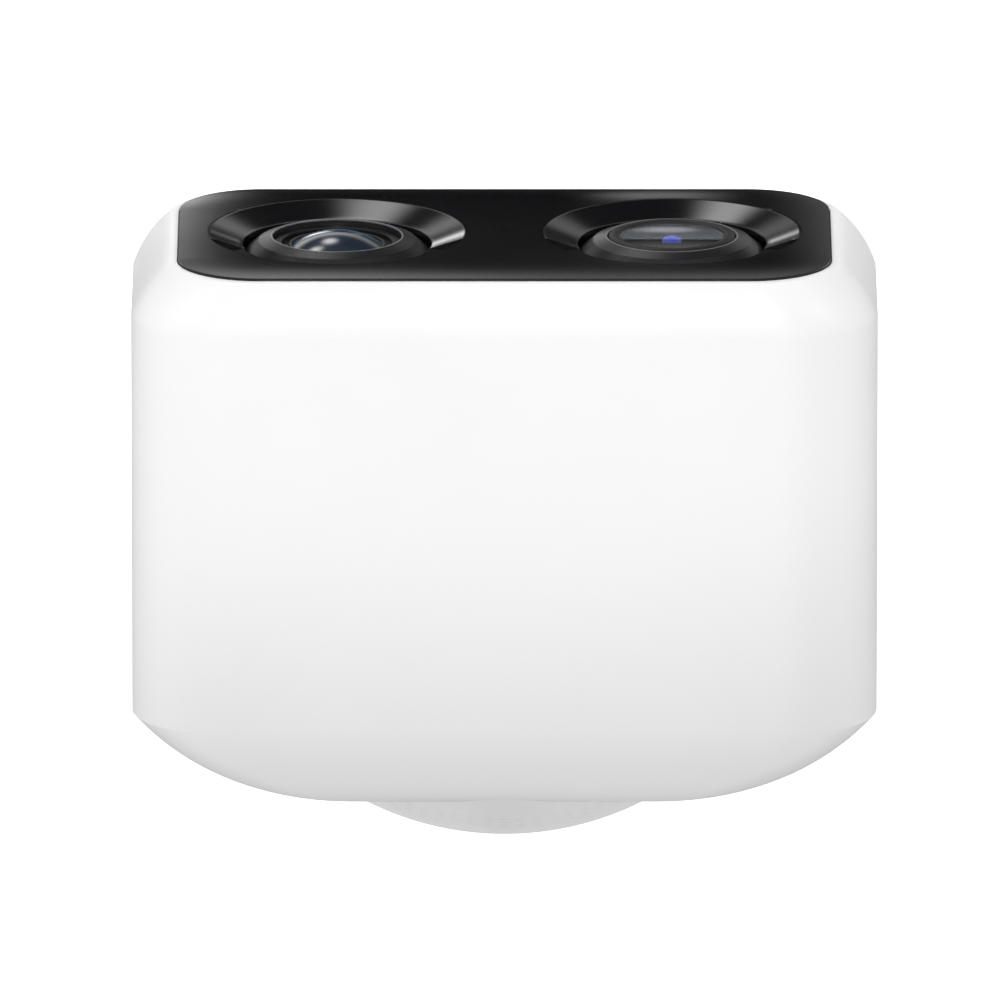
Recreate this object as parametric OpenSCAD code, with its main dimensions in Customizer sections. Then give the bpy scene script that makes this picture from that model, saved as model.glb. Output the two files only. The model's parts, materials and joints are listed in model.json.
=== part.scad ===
// Floodlight security camera: a twin-lens head on a tilting and turning neck
// above a round junction-box base. Millimetres, +Z up, origin at the centre of
// the mounting face. The lens panel looks along -Y.

/* [Head housing] */
// Width of the head
head_w = 148.7; // [130:0.1:190]
// Depth of the head, from the lens panel to the back
head_d = 111.6; // [90:0.1:150]
// Height of the head
head_h = 80; // [74:0.5:110]
// Gap between the base and the underside of the head
head_gap = 22; // [20:0.5:40]
// Distance from the turning axis forward to the lens panel
head_front = 83; // [60:0.5:100]
// Radius of the swelling behind the panel
front_bulge_r = 23; // [18:0.5:60]
// Length of the swelling behind the panel
front_bulge_len = 11.8; // [8:0.1:20]
// Radius of the rear corners seen from above
rear_corner_r = 55.2; // [50:0.1:90]
// Width of the flat middle of the back
rear_flat_w = 66.2; // [50:0.1:80]
// Rounding of the long edges, across the head
edge_rx = 20; // [18:0.5:30]
// Rounding of the long edges, up the head
edge_rz = 20; // [16:0.5:30]
// Wall of the housing
wall = 2.4; // [1.8:0.1:3]
// Width of the thumb notch in the back
notch_w = 18.2; // [12:0.1:24]
// Depth of the thumb notch in the back
notch_depth = 0.45; // [0.2:0.05:1]

/* [Lens panel] */
// Width of the lens panel
panel_w = 130; // [110:0.1:150]
// Height of the lens panel
panel_h = 70.8; // [60:0.1:80]
// Corner radius of the lens panel
panel_corner_r = 16.4; // [8:0.1:24]
// Thickness of the lens panel
panel_t = 2; // [1.5:0.1:3]
// Thickness of the seal under the lens panel
panel_gasket_t = 0.6; // [0.4:0.1:1]
// Width of the ledge that the lens panel rests on
panel_ledge = 4; // [3:0.1:5]
// Housing rim left around the lens panel
panel_rim = 0.7; // [0.5:0.1:1.5]

/* [Lens modules] */
// Distance between the two lens axes
lens_spacing = 66.8; // [60:0.1:72]
// Height of the lens axes below the middle of the head
lens_drop = 1.2; // [0:0.1:3]
// Radius of the round opening in the panel
recess_r = 25.9; // [22:0.1:28]
// Inner radius of the funnel
funnel_r = 18.8; // [17.5:0.1:20]
// Depth of the funnel at its inner edge
funnel_depth = 2.5; // [1.5:0.1:3]
// Angle that the funnel reaches past the horizontal, on each side
funnel_over = 13; // [0:1:30]
// Radius at the foot of the bezel cone
bezel_foot_r = 18.2; // [17:0.1:19]
// Radius at the top of the bezel cone
bezel_top_r = 15.9; // [14.5:0.1:17]
// Radius of the bezel opening
bezel_hole_r = 12.9; // [12:0.1:13.5]
// Radius of the domed wide-angle lens
dome_r = 8.85; // [6:0.05:10]
// Radius of the flat telephoto glass
tele_glass_r = 10.4; // [8:0.1:11.5]
// Radius of the microphone hole
mic_hole_r = 0.7; // [0.4:0.1:1]
// Light sources behind each arc window
led_count = 8; // [4:1:10]

/* [Base] */
// Radius of the base
base_r = 60.3; // [55:0.1:75]
// Height of the rim of the base
base_rim_z = 17; // [16:0.5:28]
// Height of the middle of the base
base_top_z = 20; // [19:0.5:31]
// Rounding of the upper rim of the base
base_edge_r = 1.5; // [1.5:0.5:6]
// Wall of the base cover
base_wall = 2.2; // [1.6:0.1:3]
// Height of the seal under the base
base_gasket_t = 2.2; // [2:0.1:3]
// Distance between the two box screws
box_spacing = 88.9; // [82:0.1:92]
// Width of the box screw slots
box_slot_w = 4.8; // [4:0.1:6]
// Length of the box screw slots
box_slot_len = 9; // [7:0.5:11]
// Thickness of the bracket
bracket_t = 1.8; // [1:0.1:2]
// Width of the bracket
bracket_w = 26; // [20:1:34]
// Radius of the cable hole in the grommet
cable_r = 4.5; // [3:0.1:5]

/* [Neck and hinge] */
// Radius of the turning spigot
spigot_r = 9; // [8:0.1:10]
// Radius of the wire way through the spigot
wire_way_r = 6; // [4:0.1:6.4]
// Radius of the neck flange
neck_r = 15.5; // [15:0.1:18]
// Radius of the hinge bolt
bolt_r = 2.5; // [2:0.1:3]
// Radius of the knuckle under the head
knuckle_r = 7.5; // [6.5:0.1:7.6]
// Width of the knuckle under the head
knuckle_w = 17.4; // [14:0.1:20]
// Thickness of each ear of the neck
ear_t = 4; // [3:0.1:6]

/* [Flap, button and card] */
// Width of the rear flap
flap_w = 30; // [28:0.5:34]
// Height of the rear flap
flap_h = 29; // [20:0.5:30]
// Thickness of the rear flap
flap_t = 1.5; // [1.2:0.1:2]
// Radius of the reset button
button_r = 2.2; // [1.5:0.1:3]
// Travel of the reset button and of the card
press = 0.8; // [0.4:0.1:1]

/* [Fits] */
// Radial clearance of a part that turns in its bore
run_fit = 0.05; // [0.01:0.01:0.1]
// Gap between bodies that move past each other
body_gap = 0.3; // [0.2:0.05:0.6]
// Gap around a part that sits in its seat
seat_gap = 0.15; // [0.05:0.05:0.25]

/* [Hidden] */
$fn = 48;

eps = 0.01;              // sections closer than this count as one
loft_n = 8;              // steps in each corner of a section
rear_n = 9;              // sections around the rear edge
front_n = 5;             // sections along the swelling

// Heights and the place of the head
head_z0 = base_top_z + head_gap;
head_zm = head_z0 + head_h / 2;
head_y0 = -head_front;
head_y1 = head_y0 + head_d;
lens_z = head_zm - lens_drop;
hinge_z = base_top_z + head_gap / 2;

// Half sizes of the housing at the panel and along its sides
side_hw = head_w / 2;
side_hh = head_h / 2;
front_hw = panel_w / 2 + seat_gap + panel_rim;
front_hh = panel_h / 2 + seat_gap + panel_rim;

// Depth at which the straight sides end and the rear corners begin
rear_corner_s = head_d - rear_corner_r
    + sqrt(pow(rear_corner_r, 2) - pow(side_hw - rear_flat_w / 2, 2));

// Centre of the front swelling: an arc through (front_hw, 0) and (side_hw, front_bulge_len)
chord = [side_hw - front_hw, front_bulge_len];
chord_len = norm(chord);
chord_off = sqrt(pow(front_bulge_r, 2) - pow(chord_len / 2, 2));
bulge_c = [front_hw, 0] + chord / 2 + chord_off * [-chord[1], chord[0]] / chord_len;

function half_w(s) =
    s < front_bulge_len ? bulge_c[0] + sqrt(pow(front_bulge_r, 2) - pow(s - bulge_c[1], 2))
    : s <= rear_corner_s ? side_hw
    : rear_flat_w / 2 + sqrt(max(0, pow(rear_corner_r, 2) - pow(s - head_d + rear_corner_r, 2)));
function half_h(s) =
    s < front_bulge_len
    ? side_hh - (side_hh - front_hh) * pow(1 - s / front_bulge_len, 2)
    : s <= head_d - edge_rz ? side_hh
    : side_hh - edge_rz + sqrt(max(0, pow(edge_rz, 2) - pow(s - head_d + edge_rz, 2)));
// The long edges keep their share of each section
function corner_rx(s) = edge_rx * half_w(s) / side_hw;
function corner_rz(s) = edge_rz * half_h(s) / side_hh;

// Closed outline with elliptical corners, at height y over the xz plane
function outline(y, hw, hh, rx, rz) = [
    for (q = [0 : 3], i = [0 : loft_n]) let (a = 90 * (q + i / loft_n))
        [(q == 0 || q == 3 ? 1 : -1) * (hw - rx) + rx * cos(a), y,
         (q < 2 ? 1 : -1) * (hh - rz) + rz * sin(a)]
];

// Ascending order without repeats
function sorted(v) = len(v) < 2 ? v : let (p = v[0]) concat(
    sorted([for (x = v) if (x < p - eps) x]), [p], sorted([for (x = v) if (x > p + eps) x]));

// Depths of the head's sections
stations = sorted(concat(
    [for (i = [0 : front_n]) front_bulge_len * i / front_n],
    [for (i = [0 : rear_n]) head_d - edge_rz + edge_rz * sin(90 * i / rear_n)],
    [rear_corner_s]
));

// Depths of the layers behind the panel face
seat_depth = panel_t + panel_gasket_t;
ledge_end = seat_depth + wall;
window_depth = 2.4;
window_t = 1.2;
light_board_depth = 4.6;
light_board_t = 1;
frame_depth = 7;
frame_t = 2;
board_depth = 34;
board_t = 1.6;
board_w = 108;
board_h = 54;
board_post_x = 47;
board_post_z = 21;
chip_t = 1.5;
pad_t = 1;
spreader_depth = board_depth + board_t + chip_t + pad_t;
frame_w = panel_w - 2 * panel_ledge - 0.6;
frame_h = panel_h - 2 * panel_ledge - 0.6;
frame_r = 11.5;
frame_screw_x = frame_w / 2 - 7;
frame_screw_z = frame_h / 2 - 7;
frame_boss_r = 4;
m3_r = 1.5;
m3_head_r = 2.7;
m3_head_t = 1.8;

// Lens module layers, measured inward from the panel face
bezel_lip_depth = 0.9;
bezel_top_depth = 1.87;
bezel_foot_depth = 3.8;
ring_depth = bezel_lip_depth + 2;
barrel_r = bezel_hole_r - seat_gap;
barrel_end = 22;
sensor_t = 1.2;

// Base layers
plate_t = 2.2;
plate_z = base_gasket_t;
plate_r = base_r - base_wall - 2 * seat_gap;
hub_z = 10;
hub_r = 15;
bush_r = 12;
hub_bore_r = bush_r + run_fit;
bush_flange_t = 0.9;
flange_z = base_top_z + bush_flange_t + body_gap;
flange_t = 1.4;
retainer_z = 6.6;
retainer_t = 2;
retainer_r = 14;
spigot_z = retainer_z + retainer_t;
tab_x = base_r - base_wall - 3;
tab_h = 11;
tab_w = 13;
base_screw_z = 8.2;
back_screw_r = plate_r - 6.7;
back_screw_angles = [90, 210, 330];
board_z = 7.4;
driver_r = 43;
driver_hole_r = 19;
pillar_angles = [60, 180, 300];
pillar_r = 31;
part_z = board_z + board_t;
part_h = 5;

// Floor of the head: the hinge screws lie at this distance ahead of and behind the axis
hinge_screw_y = 8;
vent_x = 38;
vent_y = -15;

// Rear opening
flap_z = head_zm - 10;                   // height of the flap's hinge
flap_y = head_y1 - flap_t / 2;           // hinge axis, in the middle of the flap
pad_y = head_y1 - 6.6;                   // inner face of the thick patch behind the flap
pocket_y = head_y1 - flap_t - body_gap;  // floor of the flap's seat
io_z = flap_z + 12;                      // height of the card and the button
button_x = -8;
card_x = 7;
card_w = 11;
card_l = 15;
card_t = 1;
io_board_z = io_z - button_r - 0.6 - 2 * body_gap - board_t;

// Round ring between two radii, from z = z0, h high
module ring(r_out, r_in, z0, h) {
    translate([0, 0, z0]) difference() {
        cylinder(r = r_out, h = h);
        translate([0, 0, -1]) cylinder(r = r_in, h = h + 2);
    }
}

// Plate with rounded corners, centred, from z = 0
module rounded_plate(w, h, r, t) {
    linear_extrude(t) union() {
        square([w - 2 * r, h], center = true);
        square([w, h - 2 * r], center = true);
        for (x = [-1, 1], y = [-1, 1])
            translate([x * (w / 2 - r), y * (h / 2 - r)]) circle(r = r);
    }
}

// Screw along +z with its head below z = 0
module screw(r, len, head_r, head_t) {
    cylinder(r = r, h = len);
    translate([0, 0, -head_t]) difference() {
        cylinder(r = head_r, h = head_t);
        translate([0, 0, -0.1]) cylinder(r = r * 0.55, h = head_t * 0.6, $fn = 6);
    }
}

// Places with z pointing out of the panel and y up the head
module at_panel(depth = 0) {
    translate([0, head_y0 + depth, head_zm]) rotate([90, 0, 0]) children();
}
module at_lens(side) {
    translate([side * lens_spacing / 2, head_y0, lens_z]) rotate([90, 0, 0]) children();
}

// Part of a turned profile between two angles
module swept(a0, a1) {
    rotate([0, 0, a0]) rotate_extrude(angle = a1 - a0) children();
}

// ---- Base ----

// Outer and inner profile of the base cover as (radius, z) points
function cover_profile(r, z_rim, z_top, e) = concat(
    [[0, 0], [r, 0]],
    [for (i = [0 : 4]) [r - e + e * cos(22.5 * i), z_rim - e + e * sin(22.5 * i)]],
    [[neck_r + 1, z_top], [0, z_top]]
);

module base_cover() {
    color("whitesmoke") difference() {
        union() {
            difference() {
                rotate_extrude() polygon(cover_profile(base_r, base_rim_z, base_top_z, base_edge_r));
                translate([0, 0, -1]) rotate_extrude()
                    polygon(cover_profile(base_r - base_wall, base_rim_z - base_wall + 1,
                        base_top_z - base_wall + 1, base_edge_r - 1));
            }
            ring(hub_r, hub_bore_r, hub_z, base_top_z - hub_z);
            for (a = back_screw_angles) rotate([0, 0, a])
                translate([back_screw_r, 0, plate_z + plate_t])
                    cylinder(r = 3.5, h = base_rim_z - plate_z - plate_t - 1);
        }
        translate([0, 0, hub_z - 1]) cylinder(r = hub_bore_r, h = base_top_z);
        translate([0, 0, -1]) cylinder(r = base_r + 1, h = 1.6);
        for (a = back_screw_angles) rotate([0, 0, a])
            translate([back_screw_r, 0, plate_z]) cylinder(r = m3_r, h = 10);
        for (s = [-1, 1]) rotate([0, s * 90, 0])
            translate([-s * base_screw_z, 0, base_r - base_wall - 1]) cylinder(r = 2.1, h = 5);
        for (s = [-1, 1]) rotate([0, s * 90, 0])
            translate([-s * base_screw_z, 0, base_r - 1.4]) cylinder(r = 3.8, h = 5);
    }
}

module base_back() {
    color("dimgray") difference() {
        union() {
            translate([0, 0, plate_z]) cylinder(r = plate_r, h = plate_t);
            for (a = pillar_angles) rotate([0, 0, a])
                translate([pillar_r, 0, plate_z]) cylinder(r = 3, h = board_z - plate_z);
        }
        translate([0, 0, -1]) cylinder(r = 8, h = 10);
        for (a = back_screw_angles) rotate([0, 0, a])
            translate([back_screw_r, 0, -1]) cylinder(r = m3_r + 0.2, h = 10);
        for (s = [-1, 1]) translate([s * (tab_x - bracket_t / 2), 0, plate_z + 1])
            cube([bracket_t + 0.8, tab_w + 0.8, 8], center = true);
    }
}

module base_gasket() {
    color("black") ring(plate_r - 0.1, tab_x + 0.4, 0, base_gasket_t);
}

module mounting_bracket() {
    color("silver") difference() {
        union() {
            translate([-tab_x, -bracket_w / 2, 0]) cube([2 * tab_x, bracket_w, bracket_t]);
            for (s = [-1, 1]) translate([s * tab_x - (s > 0 ? bracket_t : 0), -tab_w / 2, 0])
                cube([bracket_t, tab_w, tab_h]);
        }
        translate([0, 0, -1]) cylinder(r = 12, h = 5);
        for (s = [-1, 1]) translate([s * box_spacing / 2, 0, -1]) linear_extrude(5) union() {
            square([box_slot_len - box_slot_w, box_slot_w], center = true);
            for (e = [-1, 1]) translate([e * (box_slot_len - box_slot_w) / 2, 0])
                circle(d = box_slot_w);
        }
        translate([-tab_x - 1, 0, base_screw_z]) rotate([0, 90, 0])
            cylinder(r = 1.7, h = 2 * tab_x + 2);
        // the bar stays inside the round seal
        difference() {
            translate([-2 * base_r, -base_r, -1]) cube([4 * base_r, 2 * base_r, tab_h + 3]);
            translate([0, 0, -2]) cylinder(r = tab_x + 0.25, h = tab_h + 5);
        }
    }
}

module base_screws() {
    color("dimgray") for (s = [-1, 1]) translate([s * (base_r - 1.3), 0, base_screw_z])
        rotate([0, -s * 90, 0]) difference() {
            union() {
                cylinder(r = 1.6, h = base_r - tab_x + 1);
                translate([0, 0, -0.1]) cylinder(r = 2, h = 3);
                translate([0, 0, -1.2]) cylinder(r = 3.6, h = 1.2);
            }
            translate([0, 0, -1.3]) cylinder(r = 1.3, h = 1, $fn = 6);
        }
}

module back_screws() {
    color("silver") for (a = back_screw_angles) rotate([0, 0, a])
        translate([back_screw_r, 0, plate_z]) screw(1.4, 8, 2.6, 1.2);
}

module cable_grommet() {
    color("black") difference() {
        union() {
            ring(7.9, cable_r, plate_z - 0.6, plate_t + 1.2);
            ring(9.6, cable_r, plate_z - 0.9, 0.8);
            ring(9.6, cable_r, plate_z + plate_t + 0.1, 0.8);
        }
        translate([0, 0, -1]) cylinder(r = cable_r, h = 10);
    }
}

module driver_board() {
    color("darkgreen") difference() {
        ring(driver_r, driver_hole_r, board_z, board_t);
        for (a = pillar_angles) rotate([0, 0, a])
            translate([pillar_r, 0, board_z - 1]) cylinder(r = 1.2, h = 5);
    }
}

module driver_parts() {
    color("goldenrod") translate([24, -10, part_z]) cube([13, 20, part_h]);
    color("black") for (y = [-8, 0, 8]) translate([-29, y, part_z]) cylinder(r = 3.4, h = part_h);
    color("silver") translate([-17, 24, part_z]) cube([9, 10, part_h - 2]);
}

module terminal_block() {
    color("orange") difference() {
        translate([-13, -36, part_z]) cube([26, 9, part_h]);
        for (x = [-8.5, 0, 8.5]) {
            translate([x, -26, part_z + 2.2]) rotate([90, 0, 0]) cylinder(r = 1.4, h = 7);
            translate([x, -31.5, part_z + 3]) cylinder(r = 1.6, h = part_h);
        }
    }
}

module siren() {
    color("dimgray") translate([10, 30, part_z]) difference() {
        cylinder(r = 9, h = part_h);
        translate([0, 0, part_h - 1]) cylinder(r = 2, h = 2);
    }
}

module pan_bush() {
    color("ivory") {
        difference() {
            union() {
                translate([0, 0, hub_z]) cylinder(r = bush_r, h = base_top_z - hub_z + bush_flange_t);
                translate([0, 0, base_top_z]) cylinder(r = neck_r, h = bush_flange_t);
            }
            translate([0, 0, hub_z - 1]) cylinder(r = spigot_r + run_fit, h = base_top_z);
        }
    }
}

// ---- Neck ----

module neck_yoke() {
    ear_r = knuckle_r + 0.3;
    ear_x0 = knuckle_w / 2 + 0.6;
    top = flange_z + flange_t;
    color("whitesmoke") difference() {
        union() {
            translate([0, 0, spigot_z]) cylinder(r = spigot_r, h = top - spigot_z);
            translate([0, 0, flange_z]) cylinder(r = neck_r, h = flange_t);
            intersection() {
                for (s = [-1, 1]) {
                    translate([s > 0 ? ear_x0 : -ear_x0 - ear_t, 0, hinge_z]) rotate([0, 90, 0])
                        cylinder(r = ear_r, h = ear_t);
                    translate([s > 0 ? ear_x0 : -ear_x0 - ear_t, -ear_r, top - eps])
                        cube([ear_t, 2 * ear_r, hinge_z - top]);
                }
                translate([0, 0, flange_z]) cylinder(r = neck_r, h = 2 * head_gap);
            }
        }
        translate([0, 0, spigot_z - 1]) cylinder(r = wire_way_r, h = base_top_z);
        translate([-neck_r - 1, 0, hinge_z]) rotate([0, 90, 0])
            cylinder(r = bolt_r + run_fit, h = 2 * neck_r + 2);
        for (a = pillar_angles) rotate([0, 0, a])
            translate([(spigot_r + wire_way_r) / 2, 0, spigot_z - 1]) cylinder(r = 0.8, h = 6);
    }
}

module pan_washer() {
    color("silver") ring(retainer_r - 0.2, spigot_r + 0.2, spigot_z + 0.1,
        hub_z - spigot_z - 0.2);
}

module pan_retainer() {
    color("silver") difference() {
        ring(retainer_r, wire_way_r, retainer_z, retainer_t);
        for (a = pillar_angles) rotate([0, 0, a])
            translate([(spigot_r + wire_way_r) / 2, 0, retainer_z - 1]) cylinder(r = 0.9, h = 6);
    }
}

module retainer_screws() {
    color("dimgray") for (a = pillar_angles) rotate([0, 0, a])
        translate([(spigot_r + wire_way_r) / 2, 0, retainer_z]) screw(0.75, 6, 1.4, 0.9);
}

// Outer faces of the two ears
ear_x1 = knuckle_w / 2 + 0.6 + ear_t;

module hinge_bolt() {
    color("dimgray") translate([-ear_x1, 0, hinge_z]) rotate([0, 90, 0])
        screw(bolt_r, 2 * ear_x1 + 3, 4.2, 2);
}

module lock_nut() {
    color("silver") translate([ear_x1, 0, hinge_z]) rotate([0, 90, 0]) difference() {
        cylinder(r = 4.6, h = 2.6, $fn = 6);
        translate([0, 0, -1]) cylinder(r = bolt_r + run_fit, h = 6);
    }
}

module tilt_washers() {
    color("ivory") for (s = [-1, 1]) translate([s > 0 ? knuckle_w / 2 + 0.03 : -knuckle_w / 2 - 0.57,
        0, hinge_z]) rotate([0, 90, 0]) ring(knuckle_r - 1, bolt_r + run_fit, 0, 0.54);
}

// ---- Head ----

// Closed skin over a row of outlines with the same number of points
module skin(rows) {
    n = len(rows[0]);
    last = (len(rows) - 1) * n;
    polyhedron(
        [for (row = rows, p = row) p],
        concat(
            [[for (i = [n - 1 : -1 : 0]) i], [for (i = [0 : n - 1]) last + i]],
            [for (k = [0 : n : last - n], i = [0 : n - 1]) [k + i, k + (i + 1) % n, k + n + i]],
            [for (k = [0 : n : last - n], i = [0 : n - 1])
                [k + (i + 1) % n, k + n + (i + 1) % n, k + n + i]]
        ),
        convexity = 4
    );
}

module head_outer() {
    translate([0, head_y0, head_zm])
        skin([for (s = stations) outline(s, half_w(s), half_h(s), corner_rx(s), corner_rz(s))]);
}

module head_inner() {
    shrink = (head_d - wall) / head_d;
    first = ledge_end / shrink;
    translate([0, head_y0, head_zm])
        skin([for (s = concat([first], [for (s = stations) if (s > first + 1) s]))
            outline(s * shrink, half_w(s) - wall, half_h(s) - wall,
                corner_rx(s) - wall, corner_rz(s) - wall)]);
}

module housing() {
    notch_r = (pow(notch_w / 2, 2) + pow(notch_depth, 2)) / (2 * notch_depth);
    notch_tilt = 15;
    color("white") difference() {
        union() {
            difference() {
                head_outer();
                head_inner();
            }
            // thick patch behind the flap
            translate([-flap_w / 2 - 3, pad_y, flap_z - 4])
                cube([flap_w + 6, head_y1 - wall - pad_y + 1, flap_h + 8]);
            // frame screw bosses, each with a web to the wall
            for (x = [-1, 1], z = [-1, 1]) {
                translate([x * frame_screw_x, head_y0 + frame_depth + frame_t,
                    head_zm + z * frame_screw_z]) rotate([-90, 0, 0])
                        cylinder(r = frame_boss_r, h = 10);
                translate([x * frame_screw_x - 1.2, head_y0 + frame_depth + frame_t,
                    z > 0 ? head_zm + frame_screw_z + 3
                          : head_zm - side_hh + wall * 0.6])
                    cube([2.4, 10, side_hh - frame_screw_z - 3 - wall * 0.6]);
            }
        }
        // seat of the panel and the way in behind it
        at_panel(seat_depth) rounded_plate(panel_w + 2 * seat_gap, panel_h + 2 * seat_gap,
            panel_corner_r + seat_gap, seat_depth + 1);
        at_panel(ledge_end + 1) rounded_plate(panel_w - 2 * panel_ledge, panel_h - 2 * panel_ledge,
            panel_corner_r - panel_ledge, ledge_end + 2);
        for (x = [-1, 1], z = [-1, 1]) translate([x * frame_screw_x,
            head_y0 + frame_depth + frame_t - 1, head_zm + z * frame_screw_z])
                rotate([-90, 0, 0]) cylinder(r = m3_r, h = 9);
        // seat of the flap, with the button hole and the card slot behind it
        translate([-flap_w / 2 - body_gap, pocket_y, flap_z - flap_t / 2 - body_gap])
            cube([flap_w + 2 * body_gap, 10, flap_h + flap_t / 2 + 2 * body_gap]);
        translate([button_x, pad_y - 1, io_z]) rotate([-90, 0, 0])
            cylinder(r = button_r + 2 * run_fit, h = 10);
        translate([card_x - card_w / 2 - body_gap, pad_y - 1, io_z - card_t / 2 - body_gap])
            cube([card_w + 2 * body_gap, 10, card_t + 2 * body_gap]);
        // thumb notch across the rounded rear edge
        translate([0, head_y1 - edge_rz, head_zm + side_hh - edge_rz]) rotate([notch_tilt, 0, 0])
            translate([0, edge_rz - notch_depth + notch_r, -12]) cylinder(r = notch_r, h = 24,
                $fn = 180);
        // hinge screws and vent in the floor
        for (y = [-hinge_screw_y, hinge_screw_y]) translate([0, y, head_z0]) {
            translate([0, 0, -1]) cylinder(r = m3_r + 0.2, h = wall + 4);
            translate([0, 0, wall]) cylinder(r = m3_head_r + body_gap, h = m3_head_t);
        }
        translate([vent_x, vent_y, head_z0 - 1]) cylinder(r = 2, h = wall + 4);
    }
}

module hinge_block() {
    color("gray") difference() {
        union() {
            translate([-knuckle_w / 2, 0, hinge_z]) rotate([0, 90, 0])
                cylinder(r = knuckle_r, h = knuckle_w);
            translate([-knuckle_w / 2, -knuckle_r, hinge_z])
                cube([knuckle_w, 2 * knuckle_r, head_z0 - hinge_z]);
            translate([-knuckle_w / 2, -12, head_z0 - 2.7]) cube([knuckle_w, 24, 2.7]);
        }
        translate([-knuckle_w, 0, hinge_z]) rotate([0, 90, 0])
            cylinder(r = bolt_r + run_fit, h = 2 * knuckle_w);
        for (y = [-hinge_screw_y, hinge_screw_y]) translate([0, y, head_z0 - 2.2]) cylinder(r = 1.3, h = 5);
    }
}

module hinge_screws() {
    color("silver") for (y = [-hinge_screw_y, hinge_screw_y]) translate([0, y, head_z0 + wall]) rotate([180, 0, 0])
        screw(1.25, wall + 2.1, m3_head_r, m3_head_t);
}

module pressure_vent() {
    color("black") translate([vent_x, vent_y, head_z0]) {
        translate([0, 0, -0.8]) cylinder(r = 5, h = 0.8);
        cylinder(r = 1.9, h = wall + 0.4);
    }
}

module front_panel() {
    color("#1a1b1e") difference() {
        at_panel(panel_t) rounded_plate(panel_w, panel_h, panel_corner_r, panel_t);
        for (s = [-1, 1]) at_lens(s) translate([0, 0, -5]) cylinder(r = recess_r, h = 10);
        at_lens(0) translate([0, 0, -5]) cylinder(r = mic_hole_r, h = 10);
    }
}

module panel_gasket() {
    color("dimgray") difference() {
        at_panel(seat_depth) rounded_plate(panel_w, panel_h, panel_corner_r, panel_gasket_t);
        at_panel(seat_depth + 1) rounded_plate(panel_w - 2 * panel_ledge + 1,
            panel_h - 2 * panel_ledge + 1, panel_corner_r - panel_ledge + 0.5, panel_gasket_t + 2);
    }
}

module front_frame() {
    color("dimgray") difference() {
        union() {
            at_panel(frame_depth + frame_t) rounded_plate(frame_w, frame_h, frame_r, frame_t);
            for (s = [-1, 1]) at_lens(s) ring(recess_r - 0.2, recess_r - 1.8, -frame_depth - eps,
                frame_depth - light_board_depth - light_board_t);
            for (x = [-1, 1], z = [-1, 1]) translate([x * board_post_x,
                head_y0 + frame_depth + frame_t - eps, head_zm + z * board_post_z])
                    rotate([-90, 0, 0]) cylinder(r = 3, h = board_depth - frame_depth - frame_t);
            at_lens(0) translate([-3, -2.5, -frame_depth - eps]) cube([6, 5, 2.8]);
        }
        for (s = [-1, 1]) at_lens(s) translate([0, 0, -20]) cylinder(r = bezel_hole_r + 1, h = 30);
        for (x = [-1, 1], z = [-1, 1]) {
            translate([x * frame_screw_x, head_y0, head_zm + z * frame_screw_z])
                rotate([-90, 0, 0]) cylinder(r = m3_r + 0.2, h = 20);
            translate([x * board_post_x, head_y0 + board_depth - 6, head_zm + z * board_post_z])
                rotate([-90, 0, 0]) cylinder(r = 1.2, h = 10);
        }
    }
}

module frame_screws() {
    color("silver") for (x = [-1, 1], z = [-1, 1]) translate([x * frame_screw_x,
        head_y0 + frame_depth, head_zm + z * frame_screw_z]) rotate([-90, 0, 0])
            screw(1.4, 9, m3_head_r, m3_head_t);
}

// Glossy funnel around the far side of a lens
module funnel() {
    foot = light_board_depth + light_board_t;
    swept(180 - funnel_over, 360 + funnel_over) polygon([
        [recess_r - 0.1, -0.05], [recess_r - 0.1, -foot], [funnel_r, -foot],
        [funnel_r, -funnel_depth]]);
}
module wide_reflector() { color("#0c0c0e") at_lens(1) funnel(); }
module tele_reflector() { color("#0c0c0e") at_lens(-1) funnel(); }

// Conical ring around a lens
module bezel() {
    rotate_extrude() polygon([
        [bezel_hole_r, -frame_depth], [bezel_hole_r, -bezel_lip_depth - 0.2],
        [bezel_hole_r + 0.2, -bezel_lip_depth],
        [bezel_top_r, -bezel_top_depth], [bezel_foot_r, -bezel_foot_depth],
        [bezel_foot_r, -frame_depth]]);
}
module wide_bezel() { color("#333438") at_lens(1) bezel(); }
module tele_bezel() { color("#333438") at_lens(-1) bezel(); }

// Smoked window over the light sources, on the near side of a lens
module light_window() {
    r1 = recess_r - 0.2;
    r0 = funnel_r + 0.4;
    swept(funnel_over + 0.5, 180 - funnel_over - 0.5) polygon([
        [r0, -window_depth], [r1, -window_depth], [r1, -light_board_depth],
        [r1 - 0.8, -light_board_depth], [r1 - 0.8, -window_depth - window_t],
        [r0, -window_depth - window_t]]);
}
module wide_window() { color("#2a2224") at_lens(1) light_window(); }
module tele_window() { color("#2a2224") at_lens(-1) light_window(); }

module light_board() {
    swept(funnel_over + 0.5, 180 - funnel_over - 0.5)
        translate([funnel_r + 0.4, -light_board_depth - light_board_t])
            square([recess_r - funnel_r - 0.8, light_board_t]);
}
module wide_light_board() { color("white") at_lens(1) light_board(); }
module tele_light_board() { color("white") at_lens(-1) light_board(); }

module lights() {
    first = funnel_over + 10;
    step = (180 - 2 * first) / (led_count - 1);
    for (i = [0 : led_count - 1]) rotate([0, 0, first + i * step])
        translate([(recess_r + funnel_r) / 2 - 1.4, -1.4, -light_board_depth])
            cube([2.8, 2.8, 0.8]);
}
module wide_lights() { color("lightyellow") at_lens(1) lights(); }
module tele_lights() { color("lightyellow") at_lens(-1) lights(); }

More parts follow.
